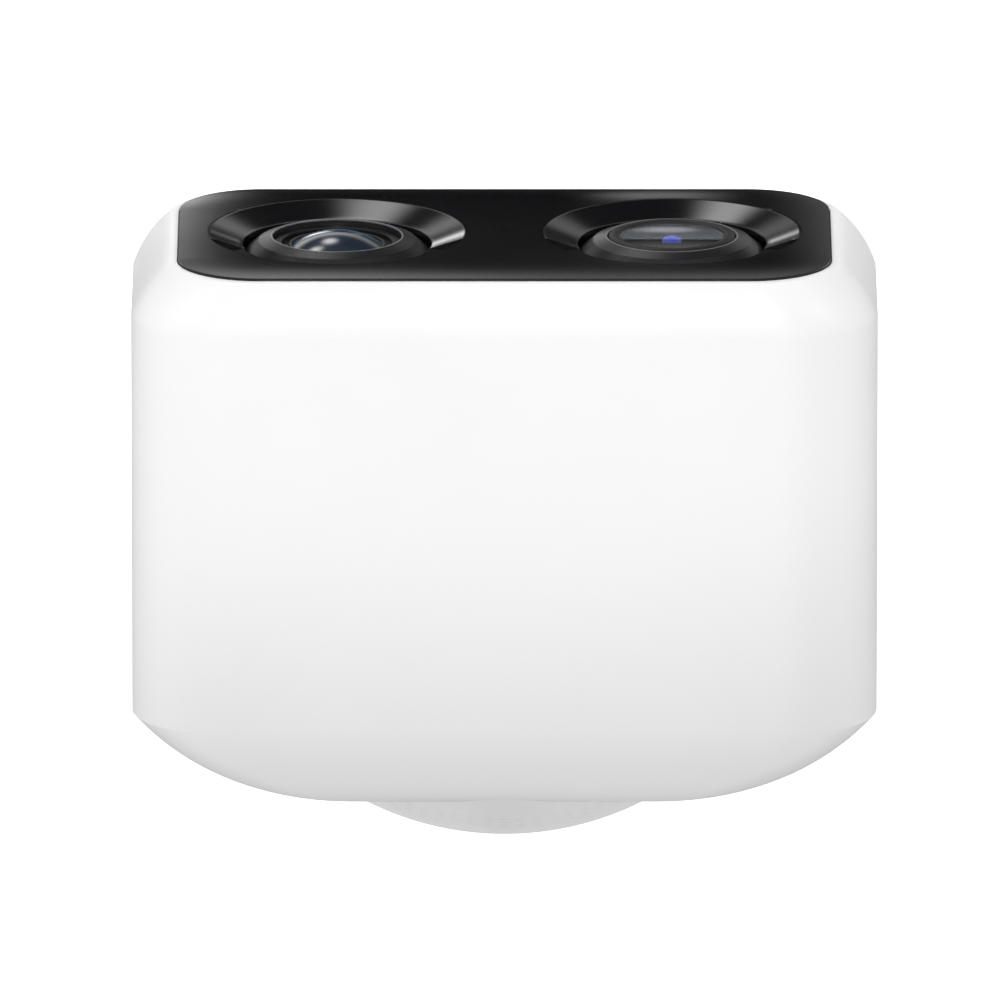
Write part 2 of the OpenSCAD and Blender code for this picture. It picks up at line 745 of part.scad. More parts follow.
// Domed front glass: a cap of a large ball, rim at the ring plane
module wide_lens() {
    cap_h = 2.8;
    ball_r = (pow(dome_r, 2) + pow(cap_h, 2)) / (2 * cap_h);
    color("lightblue", 0.6) at_lens(1) rotate_extrude() polygon(concat(
        [[0, -ring_depth - 1.6], [dome_r, -ring_depth - 1.6]],
        [for (i = [0 : 8]) let (a = asin(dome_r / ball_r) * (1 - i / 8))
            [ball_r * sin(a), -ring_depth + cap_h - ball_r + ball_r * cos(a)]]));
}

// Black barrel that holds the dome and the lens stack
module wide_barrel() {
    color("#151517") at_lens(1) rotate_extrude() polygon([
        [dome_r + 0.1, -ring_depth + 0.3], [dome_r + 0.6, -ring_depth + 0.9],
        [barrel_r, -ring_depth + 0.9], [barrel_r, -barrel_end + 6], [7.5, -barrel_end + 6],
        [7.5, -barrel_end], [5, -barrel_end], [5, -ring_depth - 1.7],
        [dome_r + 0.1, -ring_depth - 1.7]]);
}

module tele_glass() {
    color("gray", 0.6) at_lens(-1) translate([0, 0, -bezel_lip_depth - 1.4])
        cylinder(r = tele_glass_r, h = 1.5);
}

module tele_seal() {
    color("#101012") at_lens(-1) rotate_extrude() polygon([
        [tele_glass_r + 0.02, -bezel_lip_depth - 1.4], [tele_glass_r + 0.02, -bezel_lip_depth],
        [tele_glass_r + 0.5, -bezel_lip_depth + 0.3], [bezel_hole_r - 0.6, -bezel_lip_depth + 0.1],
        [bezel_hole_r - 0.1, -bezel_lip_depth - 0.3], [bezel_hole_r - 0.1, -bezel_lip_depth - 1.4]]);
}

module tele_barrel() {
    color("#151517") at_lens(-1) difference() {
        union() {
            translate([0, 0, -bezel_lip_depth - 6]) cylinder(r = barrel_r, h = 4.5);
            translate([0, 0, -barrel_end]) cylinder(r = 9, h = barrel_end - 5);
        }
        translate([0, 0, -barrel_end - 1]) cylinder(r = 6, h = barrel_end + 3);
    }
}

module sensor_boards() {
    color("darkgreen") for (s = [-1, 1]) at_lens(s) translate([-11, -11, -barrel_end - board_t])
        cube([22, 22, board_t]);
}

module image_sensors() {
    color("#3c4a5c") for (s = [-1, 1]) at_lens(s) translate([-3.2, -3.2, -barrel_end])
        cube([6.4, 6.4, sensor_t]);
}

module main_board() {
    color("darkgreen") difference() {
        at_panel(board_depth + board_t) rounded_plate(board_w, board_h, 3, board_t);
        for (x = [-1, 1], z = [-1, 1]) translate([x * board_post_x, head_y0 + board_depth - 1,
            head_zm + z * board_post_z]) rotate([-90, 0, 0]) cylinder(r = 1.3, h = 5);
    }
}

module board_screws() {
    color("silver") for (x = [-1, 1], z = [-1, 1]) translate([x * board_post_x,
        head_y0 + board_depth + board_t, head_zm + z * board_post_z]) rotate([90, 0, 0])
            screw(1.1, board_t + 4, 2.2, 1.2);
}

module board_chips() {
    y0 = head_y0 + board_depth + board_t;
    color("#222226") {
        translate([-9, y0, head_zm - 9]) cube([18, chip_t, 18]);
        translate([-30, y0, head_zm - 6]) cube([12, chip_t, 12]);
        translate([18, y0, head_zm - 8]) cube([10, chip_t, 16]);
    }
}

module thermal_pad() {
    color("lightblue") translate([-31, head_y0 + board_depth + board_t + chip_t, head_zm - 10])
        cube([60, pad_t, 20]);
}

module heat_spreader() {
    fins = 9;
    y0 = head_y0 + spreader_depth;
    color("silver") {
        translate([-34, y0, head_zm - 22]) cube([68, 3, 44]);
        for (i = [0 : fins - 1]) translate([-33 + i * (66 - 1.6) / (fins - 1), y0 + 3 - eps,
            head_zm - 20]) cube([1.6, 9, 40]);
    }
}

module microphone() {
    color("silver") at_lens(0) translate([-2, -1.5, -panel_t - 2.1]) cube([4, 3, 1.1]);
}

module microphone_seal() {
    color("dimgray") at_lens(0) ring(2.5, 1, -panel_t - 1, 1);
}

module antennas() {
    color("#b08030") for (s = [-1, 1])
        translate([s * (side_hw - wall - 0.7) - 0.3, head_y0 + 45, head_zm - 14])
            cube([0.6, 32, 10]);
}

module io_board() {
    color("darkgreen") translate([-17, pad_y - 26, io_board_z]) cube([34, 25.9, board_t]);
}

module card_socket() {
    foot = io_board_z + board_t - io_z;
    color("silver") translate([card_x, pad_y, io_z]) difference() {
        translate([-card_w / 2 - 1.5, -card_l - 1, foot]) cube([card_w + 3, card_l + 0.9, 1.6 - foot]);
        translate([-card_w / 2 - body_gap, -card_l + 1.5, -card_t / 2 - body_gap])
            cube([card_w + 2 * body_gap, card_l, card_t + 2 * body_gap]);
    }
}

module reset_switch() {
    color("black") translate([button_x - 2.6, pad_y - 6.2, io_board_z + board_t])
        cube([5.2, 4, io_z - io_board_z - board_t + 1]);
}

module rear_flap() {
    color("white") {
        translate([-flap_w / 2, flap_y, flap_z]) rotate([0, 90, 0])
            cylinder(r = flap_t / 2, h = flap_w);
        translate([-flap_w / 2, head_y1 - flap_t, flap_z]) cube([flap_w, flap_t, flap_h]);
    }
}

module reset_button() {
    color("gray") translate([button_x, 0, io_z]) rotate([-90, 0, 0]) {
        translate([0, 0, pad_y - 1]) cylinder(r = button_r, h = pocket_y - pad_y + 0.7);
        translate([0, 0, pad_y - 1.3]) cylinder(r = button_r + 0.6, h = 1);
    }
}

module memory_card() {
    color("#30343c") translate([card_x - card_w / 2, pocket_y - 0.4 - card_l, io_z - card_t / 2])
        cube([card_w, card_l, card_t]);
}

base_cover();
base_back();
base_gasket();
mounting_bracket();
base_screws();
back_screws();
cable_grommet();
driver_board();
driver_parts();
terminal_block();
siren();
pan_bush();
neck_yoke();
pan_washer();
pan_retainer();
retainer_screws();
hinge_bolt();
lock_nut();
tilt_washers();
housing();
hinge_block();
hinge_screws();
pressure_vent();
front_panel();
panel_gasket();
front_frame();
frame_screws();
wide_reflector();
tele_reflector();
wide_bezel();
tele_bezel();
wide_window();
tele_window();
wide_light_board();
tele_light_board();
wide_lights();
tele_lights();
wide_lens();
wide_barrel();
tele_glass();
tele_seal();
tele_barrel();
sensor_boards();
image_sensors();
main_board();
board_screws();
board_chips();
thermal_pad();
heat_spreader();
microphone();
microphone_seal();
antennas();
io_board();
card_socket();
reset_switch();
rear_flap();
reset_button();
memory_card();
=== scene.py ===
"""Floodlight security camera: the looks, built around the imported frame."""
import json
import math

import bmesh
import bpy
from mathutils import Matrix, Vector


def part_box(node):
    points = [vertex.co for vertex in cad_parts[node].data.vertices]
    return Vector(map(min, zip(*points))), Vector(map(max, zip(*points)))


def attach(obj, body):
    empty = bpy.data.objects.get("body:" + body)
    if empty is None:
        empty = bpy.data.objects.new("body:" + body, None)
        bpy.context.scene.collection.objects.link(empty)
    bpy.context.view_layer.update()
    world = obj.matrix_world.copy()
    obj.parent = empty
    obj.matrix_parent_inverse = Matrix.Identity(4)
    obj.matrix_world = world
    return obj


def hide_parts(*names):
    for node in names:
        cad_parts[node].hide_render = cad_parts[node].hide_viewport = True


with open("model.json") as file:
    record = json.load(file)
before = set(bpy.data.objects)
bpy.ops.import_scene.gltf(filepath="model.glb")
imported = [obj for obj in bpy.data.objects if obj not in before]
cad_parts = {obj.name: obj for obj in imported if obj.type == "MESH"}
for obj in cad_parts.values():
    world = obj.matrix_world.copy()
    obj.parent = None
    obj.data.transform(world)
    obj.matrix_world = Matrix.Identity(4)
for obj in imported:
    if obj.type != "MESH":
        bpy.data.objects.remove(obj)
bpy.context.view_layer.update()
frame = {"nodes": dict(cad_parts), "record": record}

MM = 0.001
UP = (0, 0, 1)
FORWARD = (0, -1, 0)


def span(node):
    """Lowest and highest corner of a frame node."""
    low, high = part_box(node)
    return Vector(low), Vector(high)


# ---------------------------------------------------------------- measures from the frame

HEAD_LO, HEAD_HI = span("housing")
PANEL_LO, PANEL_HI = span("front_panel")
BASE_LO, BASE_HI = span("base_cover")
FLAP_LO, FLAP_HI = span("rear_flap")
WIDE_LO, WIDE_HI = span("wide_bezel")
HEAD = HEAD_HI - HEAD_LO
PANEL = PANEL_HI - PANEL_LO
BASE = BASE_HI - BASE_LO

FACE_Y = HEAD_LO.y                      # plane of the lens panel
MID_Z = (HEAD_LO.z + HEAD_HI.z) / 2
LENS_Z = (WIDE_LO.z + WIDE_HI.z) / 2
LENS_X = (WIDE_LO.x + WIDE_HI.x) / 2    # the wide lens is at +x, the telephoto at -x
PANEL_R = 16.4 * MM
RECESS_R = 25.9 * MM
FUNNEL_R = 18.8 * MM
FUNNEL_DEPTH = 2.5 * MM
FUNNEL_OVER = 13                        # degrees that the funnel reaches past the horizontal
BASE_RIM_Z = 17 * MM
BASE_EDGE = 1.5 * MM
BASE_WALL = 2.2 * MM
HUB_R = 16.5 * MM
SCREW_Z = 8.2 * MM                      # height of the two side screws of the base
SCREW_SEAT_R = 3.8 * MM
SCREW_HOLE_R = 2.1 * MM
CROWN = 0.22 * MM                       # how far the panel's edge falls back
CROWN_BAND = 13 * MM
CROWN_STEPS = 8
SLOT_COUNT = 110
SLOT_DEPTH = 0.08 * MM
SLOT_ROWS = (2.1, 2.4, 2.75, 3.05, 3.4, 3.7)    # edges of the three slot rows, in from the rim
FLAP_CORNER = 3 * MM
FLAP_LIP = 0.3 * MM                     # gap around the flap and the memory card
BUTTON_HOLE_R = 2.3 * MM                # the button itself has a radius of 2.2 mm
NOTCH_HALF = 9.1 * MM
NOTCH_DEPTH = 0.45 * MM
NOTCH_TILT = math.radians(15)
PROUD = 0.70 * MM                       # how far the panel stands out of the housing's rim


# ---------------------------------------------------------------- modelling helpers

def deselect():
    if bpy.context.mode != "OBJECT":
        bpy.ops.object.mode_set(mode="OBJECT")
    bpy.ops.object.select_all(action="DESELECT")


def only(piece):
    deselect()
    piece.select_set(True)
    bpy.context.view_layer.objects.active = piece


def named(name):
    """Names the object that an operator has just added."""
    piece = bpy.context.object
    piece.name = name
    piece.data.name = name
    return piece


def settle(piece):
    """Puts the piece's place, turn and size into its mesh."""
    only(piece)
    bpy.ops.object.transform_apply(location=True, rotation=True, scale=True)
    return piece


def modify(piece, kind, **settings):
    """Adds one modifier and applies it."""
    only(piece)
    mod = piece.modifiers.new(kind.lower(), kind)
    for key, value in settings.items():
        setattr(mod, key, value)
    bpy.ops.object.modifier_apply(modifier=mod.name)
    return piece


def smooth(piece, angle=35):
    only(piece)
    bpy.ops.object.shade_smooth_by_angle(angle=math.radians(angle))
    return piece


def outward(piece):
    """Merges doubles and turns every face outward."""
    only(piece)
    bpy.ops.object.mode_set(mode="EDIT")
    bpy.ops.mesh.select_all(action="SELECT")
    bpy.ops.mesh.remove_doubles(threshold=1e-6)
    bpy.ops.mesh.normals_make_consistent(inside=False)
    bpy.ops.object.mode_set(mode="OBJECT")
    return piece


def soften(piece, width, segments=2, angle=40):
    return modify(piece, "BEVEL", width=width, segments=segments, limit_method="ANGLE",
                  angle_limit=math.radians(angle), harden_normals=False)


def cut(piece, *tools):
    """Takes the tools' shapes out of the piece and removes the tools."""
    for tool in tools:
        modify(piece, "BOOLEAN", operation="DIFFERENCE", solver="EXACT", object=tool)
        bpy.data.objects.remove(tool)
    return piece


def box(name, low, high):
    low, high = Vector(low), Vector(high)
    deselect()
    bpy.ops.mesh.primitive_cube_add(size=1, location=(low + high) / 2)
    piece = named(name)
    piece.scale = high - low
    return settle(piece)


def drum(name, radius, depth, place, along=(0, 0, 1), sides=96):
    deselect()
    turn = Vector(along).to_track_quat("Z", "Y").to_euler()
    bpy.ops.mesh.primitive_cylinder_add(vertices=sides, radius=radius, depth=depth,
                                        location=place, rotation=turn)
    return settle(named(name))


def rounded_plate(name, width, height, radius, front_y, back_y, steps=16):
    """Upright plate in the xz plane with rounded corners, in the middle of the head."""
    piece = box(name, (-width / 2, front_y, MID_Z - height / 2),
                (width / 2, back_y, MID_Z + height / 2))
    only(piece)
    bpy.ops.object.mode_set(mode="EDIT")
    pick_edges(piece, lambda a, b: abs(a.x - b.x) < 1e-6 and abs(a.z - b.z) < 1e-6)
    bpy.ops.mesh.bevel(offset=radius, segments=steps, profile=0.5)
    bpy.ops.object.mode_set(mode="OBJECT")
    return piece


def pick_edges(piece, wanted):
    """In edit mode, selects the edges whose two ends satisfy wanted."""
    bpy.ops.mesh.select_mode(type="EDGE")
    bpy.ops.mesh.select_all(action="DESELECT")
    work = bmesh.from_edit_mesh(piece.data)
    for edge in work.edges:
        edge.select_set(wanted(edge.verts[0].co, edge.verts[1].co))
    bmesh.update_edit_mesh(piece.data)


def pick_faces(piece, wanted):
    """In edit mode, selects the faces whose centre and normal satisfy wanted."""
    bpy.ops.mesh.select_mode(type="FACE")
    bpy.ops.mesh.select_all(action="DESELECT")
    work = bmesh.from_edit_mesh(piece.data)
    for face in work.faces:
        face.select_set(wanted(face.calc_center_median(), face.normal))
    bmesh.update_edit_mesh(piece.data)


def turned(name, profile, centre, along, start=0.0, sweep=360.0, steps=128, closed=False):
    """Spins a profile of (radius, height) points about an axis through centre.

    Height runs along the axis. The profile begins in the direction start, in degrees
    from +x, counted the way that an eye looking against the axis sees it.
    """
    deselect()
    bpy.ops.mesh.primitive_plane_add(size=1, location=(0, 0, 0))
    piece = named(name)
    bpy.ops.object.mode_set(mode="EDIT")
    bpy.ops.mesh.delete(type="VERT")
    work = bmesh.from_edit_mesh(piece.data)
    a = math.radians(start)
    line = [work.verts.new((r * math.cos(a), r * math.sin(a), h)) for r, h in profile]
    for one, two in zip(line, line[1:] + (line[:1] if closed else [])):
        work.edges.new((one, two))
    for part in list(work.verts) + list(work.edges):
        part.select_set(True)
    bmesh.update_edit_mesh(piece.data)
    full = abs(sweep) >= 360
    if closed and not full:
        bpy.ops.mesh.edge_face_add()
    bpy.ops.mesh.spin(steps=steps, angle=math.radians(-sweep), center=(0, 0, 0), axis=(0, 0, 1))
    bpy.ops.object.mode_set(mode="OBJECT")
    if along == FORWARD:                 # +x stays +x and the height turns to -y
        piece.rotation_euler = (math.radians(90), 0, 0)
    piece.location = centre
    settle(piece)
    return outward(piece)


def finish_piece(piece, body, slot, material, *stands_for, angle=35):
    """Shades a piece, gives it its material and ties it to the frame."""
    smooth(piece, angle)
    modify(piece, "WEIGHTED_NORMAL", keep_sharp=True, weight=90)
    piece.data.materials.clear()
    piece.data.materials.append(material)
    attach(piece, body)
    if stands_for:
        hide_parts(*stands_for)
    return piece


# ---------------------------------------------------------------- shader groups

RELIEF = 0.2 * MM                       # full height of every surface relief


def new_group(name, inputs, outputs):
    """Empty shader group with float or colour sockets."""
    kinds = {"value": "NodeSocketFloat", "colour": "NodeSocketColor", "vector": "NodeSocketVector"}
    group = bpy.data.node_groups.new(name, "ShaderNodeTree")
    for label, kind, default in inputs:
        socket = group.interface.new_socket(label, in_out="INPUT", socket_type=kinds[kind])
        socket.default_value = default
    for label, kind in outputs:
        group.interface.new_socket(label, in_out="OUTPUT", socket_type=kinds[kind])
    return group, group.nodes.new("NodeGroupInput"), group.nodes.new("NodeGroupOutput")


def node(tree, kind, links=(), **settings):
    """Adds a node; settings whose names are sockets set their values."""
    made = tree.nodes.new(kind)
    for key, value in settings.items():
        if hasattr(made, key):
            setattr(made, key, value)
        else:
            made.inputs[key.replace("_", " ")].default_value = value
    for socket, source in links:
        tree.links.new(source, made.inputs[socket])
    return made


def remap(tree, source, start, end, low=0.0, high=1.0, kind="SMOOTHSTEP"):
    """Carries the stretch from start to end over to low to high."""
    made = node(tree, "ShaderNodeMapRange", [("Value", source)], interpolation_type=kind)
    for label, value in zip(("From Min", "From Max", "To Min", "To Max"), (start, end, low, high)):
        made.inputs[label].default_value = value
    return made.outputs["Result"]


def scaled(tree, source, factor, offset):
    """The source times a factor, plus an offset."""
    made = node(tree, "ShaderNodeMath", [(0, source)], operation="MULTIPLY_ADD")
    made.inputs[1].default_value = factor
    made.inputs[2].default_value = offset
    return made.outputs["Value"]


def tinted(tree, main, share, dark, light):
    """Base colour that runs from dark to light with the share."""
    made = node(tree, "ShaderNodeMix", [(0, share)], data_type="RGBA")
    made.inputs[6].default_value = (*dark, 1)
    made.inputs[7].default_value = (*light, 1)
    tree.links.new(made.outputs[2], main.inputs["Base Color"])


def bumped(tree, main, height, strength):
    """Surface relief from a height."""
    made = node(tree, "ShaderNodeBump", [("Height", height)])
    made.inputs["Strength"].default_value = strength
    made.inputs["Distance"].default_value = RELIEF
    tree.links.new(made.outputs["Normal"], main.inputs["Normal"])


def make_grain():
    """Fine moulded texture: a height, a roughness change and a faint colour change."""
    group, given, out = new_group(
        "Fine_grain",
        [("Pitch", "value", 2500.0), ("Patch", "value", 18.0)],
        [("Height", "value"), ("Rough", "value"), ("Mottle", "value")])
    place = node(group, "ShaderNodeTexCoord").outputs["Object"]
    fine = node(group, "ShaderNodeTexNoise", [("Vector", place), ("Scale", given.outputs["Pitch"])],
                Detail=3.0, Roughness=0.6)
    patch = node(group, "ShaderNodeTexNoise", [("Vector", place), ("Scale", given.outputs["Patch"])],
                 Detail=4.0, Roughness=0.55)
    rough = remap(group, patch.outputs["Fac"], 0.3, 0.7, -1.0, 1.0, "LINEAR")
    group.links.new(fine.outputs["Fac"], out.inputs["Height"])
    group.links.new(rough, out.inputs["Rough"])
    group.links.new(patch.outputs["Fac"], out.inputs["Mottle"])
    return group


def make_brush():
    """Straight machining or rolling lines along x."""
    group, given, out = new_group("Brush_lines", [("Pitch", "value", 900.0)],
                                  [("Height", "value"), ("Rough", "value")])
    place = node(group, "ShaderNodeTexCoord").outputs["Object"]
    flat = node(group, "ShaderNodeMapping", [("Vector", place)])
    flat.inputs["Scale"].default_value = (0.04, 1.0, 1.0)
    lines = node(group, "ShaderNodeTexNoise",
                 [("Vector", flat.outputs["Vector"]), ("Scale", given.outputs["Pitch"])],
                 Detail=2.0, Roughness=0.5)
    group.links.new(lines.outputs["Fac"], out.inputs["Height"])
    group.links.new(lines.outputs["Fac"], out.inputs["Rough"])
    return group


GRAIN = make_grain()
BRUSH = make_brush()
LINE_SPREAD = 0.25                      # how much the roughness varies between fine lines


def shader(name, **values):
    """New material with one Principled shader; values go on its sockets."""
    material = bpy.data.materials.new(name)
    material.use_nodes = True
    tree = material.node_tree
    main = tree.nodes["Principled BSDF"]
    for key, value in values.items():
        main.inputs[key.replace("_", " ")].default_value = value
    return material, tree, main


def moulded(name, colour, roughness, pitch=2500.0, depth=0.02, spread=0.05, tint=0.03, **values):
    """Moulded plastic, rubber or paint with a fine grain and slight unevenness."""
    material, tree, main = shader(name, **values)
    grain = node(tree, "ShaderNodeGroup", node_tree=GRAIN)
    grain.inputs["Pitch"].default_value = pitch
    rough = scaled(tree, grain.outputs["Rough"], spread, roughness)
    tree.links.new(rough, main.inputs["Roughness"])
    tinted(tree, main, grain.outputs["Mottle"], [c * (1 - tint) for c in colour],
           [min(1, c * (1 + tint)) for c in colour])
    bumped(tree, main, grain.outputs["Height"], depth)
    return material


def brushed(name, colour, roughness, pitch=900.0, depth=0.05):
    """Bare or plated metal with fine lines."""
    material, tree, main = shader(name, Metallic=1.0, Base_Color=(*colour, 1))
    lines = node(tree, "ShaderNodeGroup", node_tree=BRUSH)
    lines.inputs["Pitch"].default_value = pitch
    rough = scaled(tree, lines.outputs["Rough"], LINE_SPREAD, roughness - LINE_SPREAD * 0.48)
    tree.links.new(rough, main.inputs["Roughness"])
    bumped(tree, main, lines.outputs["Height"], depth)
    return material


MATERIALS = {
    "housing_white": moulded("Housing_white", (0.90, 0.90, 0.905), 0.42, pitch=3200, depth=0.03),
    "base_white": moulded("Base_white", (0.86, 0.86, 0.865), 0.45, pitch=3000, depth=0.03),
    "neck_white": moulded("Neck_white", (0.82, 0.82, 0.82), 0.40, pitch=1800, depth=0.05),
    "flap_white": moulded("Flap_white", (0.84, 0.84, 0.84), 0.60, pitch=2600, depth=0.05),
    "panel_black": moulded("Panel_black", (0.0055, 0.006, 0.007), 0.11, pitch=900, depth=0.004,
                           spread=0.02, Specular_IOR_Level=0.35),
    "reflector_black": moulded("Reflector_black", (0.004, 0.004, 0.005), 0.14, pitch=700,
                               depth=0.004, spread=0.02),
    "bezel_charcoal": moulded("Bezel_charcoal", (0.011, 0.0115, 0.013), 0.30, pitch=4200,
                              depth=0.15, Specular_IOR_Level=0.4),
    # the lip's light grey is a painted highlight along the bezel's inner edge
    "bezel_lip": moulded("Bezel_lip_highlight", (0.16, 0.16, 0.165), 0.30, pitch=2500, depth=0.03),
    "barrel_black": moulded("Barrel_black", (0.006, 0.006, 0.007), 0.38, pitch=1500, depth=0.03),
    "seal_rubber": moulded("Seal_rubber", (0.010, 0.010, 0.011), 0.48, pitch=2500, depth=0.08),
    "smoked_window": moulded("Smoked_window", (0.006, 0.005, 0.006), 0.12, pitch=500, depth=0.003,
                             spread=0.02),
    "light_yellow": moulded("Light_phosphor", (0.90, 0.76, 0.25), 0.5, pitch=3000, depth=0.05),
    "light_board_white": moulded("Light_board_white", (0.82, 0.82, 0.80), 0.35, depth=0.02),
    "board_green": moulded("Board_green", (0.012, 0.10, 0.045), 0.32, pitch=900, depth=0.06,
                           tint=0.2),
    "screw_steel": brushed("Screw_steel", (0.60, 0.61, 0.63), 0.30),
    "screw_black": brushed("Screw_black", (0.06, 0.06, 0.065), 0.38),
    "bracket_steel": brushed("Bracket_steel", (0.66, 0.67, 0.68), 0.36, pitch=600),
    "heat_aluminium": brushed("Heat_aluminium", (0.76, 0.77, 0.78), 0.34),
    "cast_grey": brushed("Cast_grey", (0.52, 0.53, 0.54), 0.48),
    "chip_black": moulded("Chip_black", (0.02, 0.02, 0.022), 0.5, pitch=2500, depth=0.1),
    "pad_blue": moulded("Pad_blue", (0.33, 0.52, 0.66), 0.6, pitch=1200, depth=0.1),
    "sensor_glass": moulded("Sensor_glass", (0.03, 0.05, 0.09), 0.08, depth=0.002),
    "frame_grey": moulded("Frame_grey", (0.03, 0.03, 0.033), 0.5, depth=0.08),
    "back_grey": moulded("Back_grey", (0.16, 0.16, 0.165), 0.52, pitch=1800, depth=0.1),
    "parts_mixed": moulded("Parts_mixed", (0.50, 0.33, 0.05), 0.45, pitch=700, depth=0.2, tint=0.3),
    "terminal_orange": moulded("Terminal_orange", (0.72, 0.20, 0.02), 0.42, depth=0.05),
    "siren_black": moulded("Siren_black", (0.02, 0.02, 0.022), 0.45, depth=0.08),
    "bush_ivory": moulded("Bush_ivory", (0.78, 0.75, 0.66), 0.42, depth=0.04),
    "antenna_amber": moulded("Antenna_amber", (0.42, 0.20, 0.04), 0.35, depth=0.05, tint=0.15),
    "socket_steel": brushed("Socket_steel", (0.70, 0.70, 0.71), 0.30),
    "card_black": moulded("Card_black", (0.02, 0.022, 0.028), 0.42, depth=0.05),
    "button_grey": moulded("Button_grey", (0.22, 0.23, 0.24), 0.5, depth=0.06),
}


def coated_glass(name, tint, roughness=0.03, **values):
    """Coated lens glass: tinted, faintly mottled body colour; the blue element's blue tint is a
    painted coat reflection.
    """
    material, tree, main = shader(name, Metallic=0.0, **values)
    grain = node(tree, "ShaderNodeGroup", node_tree=GRAIN)
    grain.inputs["Patch"].default_value = 60.0
    tinted(tree, main, grain.outputs["Mottle"], [c * 0.85 for c in tint], tint)
    rough = scaled(tree, grain.outputs["Rough"], 0.01, roughness)
    tree.links.new(rough, main.inputs["Roughness"])
    return material


def make_dome_glass():
    """Dark blue glass whose base colour is painted pale cyan where it is seen edge on: a painted
    coating reflection.
    """
    material = coated_glass("Lens_glass", (0.012, 0.022, 0.040), 0.14,
                            Coat_Weight=1.0, Coat_Roughness=0.2, IOR=1.6)
    tree = material.node_tree
    main = tree.nodes["Principled BSDF"]
    body = main.inputs["Base Color"].links[0].from_socket
    # painted coating reflection: the base colour turns pale cyan as the view grazes the dome
    edge = node(tree, "ShaderNodeLayerWeight", Blend=0.5)
    painted_sheen_share = remap(tree, edge.outputs["Facing"], 0.76, 0.97)
    mixed = node(tree, "ShaderNodeMix", [(0, painted_sheen_share), (6, body)], data_type="RGBA")
    mixed.inputs[7].default_value = (0.12, 0.46, 0.78, 1)
    tree.links.new(mixed.outputs[2], main.inputs["Base Color"])
    return material


MATERIALS["lens_glass"] = make_dome_glass()
MATERIALS["cover_glass"] = coated_glass("Cover_glass", (0.80, 0.86, 0.95), 0.02,
                                        Transmission_Weight=1.0, IOR=1.55)
# painted reflection: the blue element's strong blue colour and faint emission stand for its coat's
# reflection; it is no lamp
MATERIALS["blue_element"] = coated_glass("Blue_element", (0.01, 0.03, 0.55), 0.05,
                                         Emission_Color=(0.02, 0.06, 1.0, 1),
                                         Emission_Strength=0.7, Coat_Weight=1.0)


# ---------------------------------------------------------------- camera, floor and light

VIEW_RISE = math.radians(74.9)          # the eye's height above the horizon
VIEW_WIDTH = 0.200
LENS_MM = 1200.0
SENSOR_MM = 36.0
VIEW_AIM = Vector((0.0009, -0.0277, 0.082))
FLOOR_GREY = 0.85
FLOOR_GLOW = 0.35                       # what the floor adds to the light from below
SKY_LOW = 0.05
SKY_HIGH = 0.665
SKY_LEAN = (0.12, 0.18, 0.0)            # the sky is brighter towards +x and +y
DARK_WAY = (0.0, -0.26, -0.966)         # middle of the dark patch that the flat panel mirrors
DARK_REACH = 6.0                        # degrees


def make_camera():
    """Long lens over the head, with the lens panel at the top of the picture."""
    data = bpy.data.cameras.new("Camera")
    data.lens, data.sensor_width = LENS_MM, SENSOR_MM
    camera = bpy.data.objects.new("Camera", data)
    bpy.context.collection.objects.link(camera)
    back = Vector((0, -math.cos(VIEW_RISE), math.sin(VIEW_RISE)))
    right = Vector((-1, 0, 0))
    up = back.cross(right)
    distance = VIEW_WIDTH * LENS_MM / SENSOR_MM
    turn = Matrix((right, up, back)).transposed()
    camera.matrix_world = Matrix.Translation(VIEW_AIM + back * distance) @ turn.to_4x4()
    data.clip_start, data.clip_end = 0.1, 60.0
    bpy.context.scene.camera = camera


def make_floor():
    """Pale table that the camera sees as plain white."""
    deselect()
    bpy.ops.mesh.primitive_plane_add(size=30, location=(0, 0, 0))
    floor = named("Floor")
    material, tree, main = shader("Floor_white", Roughness=1.0, Specular_IOR_Level=0.0,
                                  Base_Color=(FLOOR_GREY, FLOOR_GREY, FLOOR_GREY, 1),
                                  Emission_Color=(1, 1, 1, 1))
    path = node(tree, "ShaderNodeLightPath")
    level = node(tree, "ShaderNodeMath", [(0, path.outputs["Is Diffuse Ray"]),
                 (2, path.outputs["Is Camera Ray"])], operation="MULTIPLY_ADD")
    level.inputs[1].default_value = FLOOR_GLOW
    tree.links.new(level.outputs["Value"], main.inputs["Emission Strength"])
    floor.data.materials.append(material)
    floor.visible_glossy = False


def card(name, centre, aim, width, height, strength):
    """Soft-edged light card that only glossy surfaces see."""
    deselect()
    turn = (Vector(aim) - Vector(centre)).to_track_quat("Z", "Y").to_euler()
    bpy.ops.mesh.primitive_plane_add(size=1, location=centre, rotation=turn)
    piece = named(name)
    piece.scale = (width, height, 1)
    settle(piece)
    material = bpy.data.materials.new(name)
    material.use_nodes = True
    tree = material.node_tree
    tree.nodes.remove(tree.nodes["Principled BSDF"])
    place = node(tree, "ShaderNodeTexCoord").outputs["UV"]
    centred = node(tree, "ShaderNodeVectorMath", [(0, place)], operation="SUBTRACT")
    centred.inputs[1].default_value = (0.5, 0.5, 0)
    reach = node(tree, "ShaderNodeVectorMath", [(0, centred.outputs["Vector"])],
                 operation="LENGTH")
    fall = remap(tree, reach.outputs["Value"], 0.5, 0.1, 0.0, strength)
    glow = node(tree, "ShaderNodeEmission", [("Strength", fall)])
    clear = node(tree, "ShaderNodeBsdfTransparent")
    both = node(tree, "ShaderNodeAddShader",
                [(0, glow.outputs["Emission"]), (1, clear.outputs["BSDF"])])
    tree.links.new(both.outputs["Shader"], tree.nodes["Material Output"].inputs["Surface"])
    piece.data.materials.append(material)
    piece.visible_camera = False
    piece.visible_diffuse = False
    piece.visible_shadow = False
    piece.visible_transmission = False
    return piece


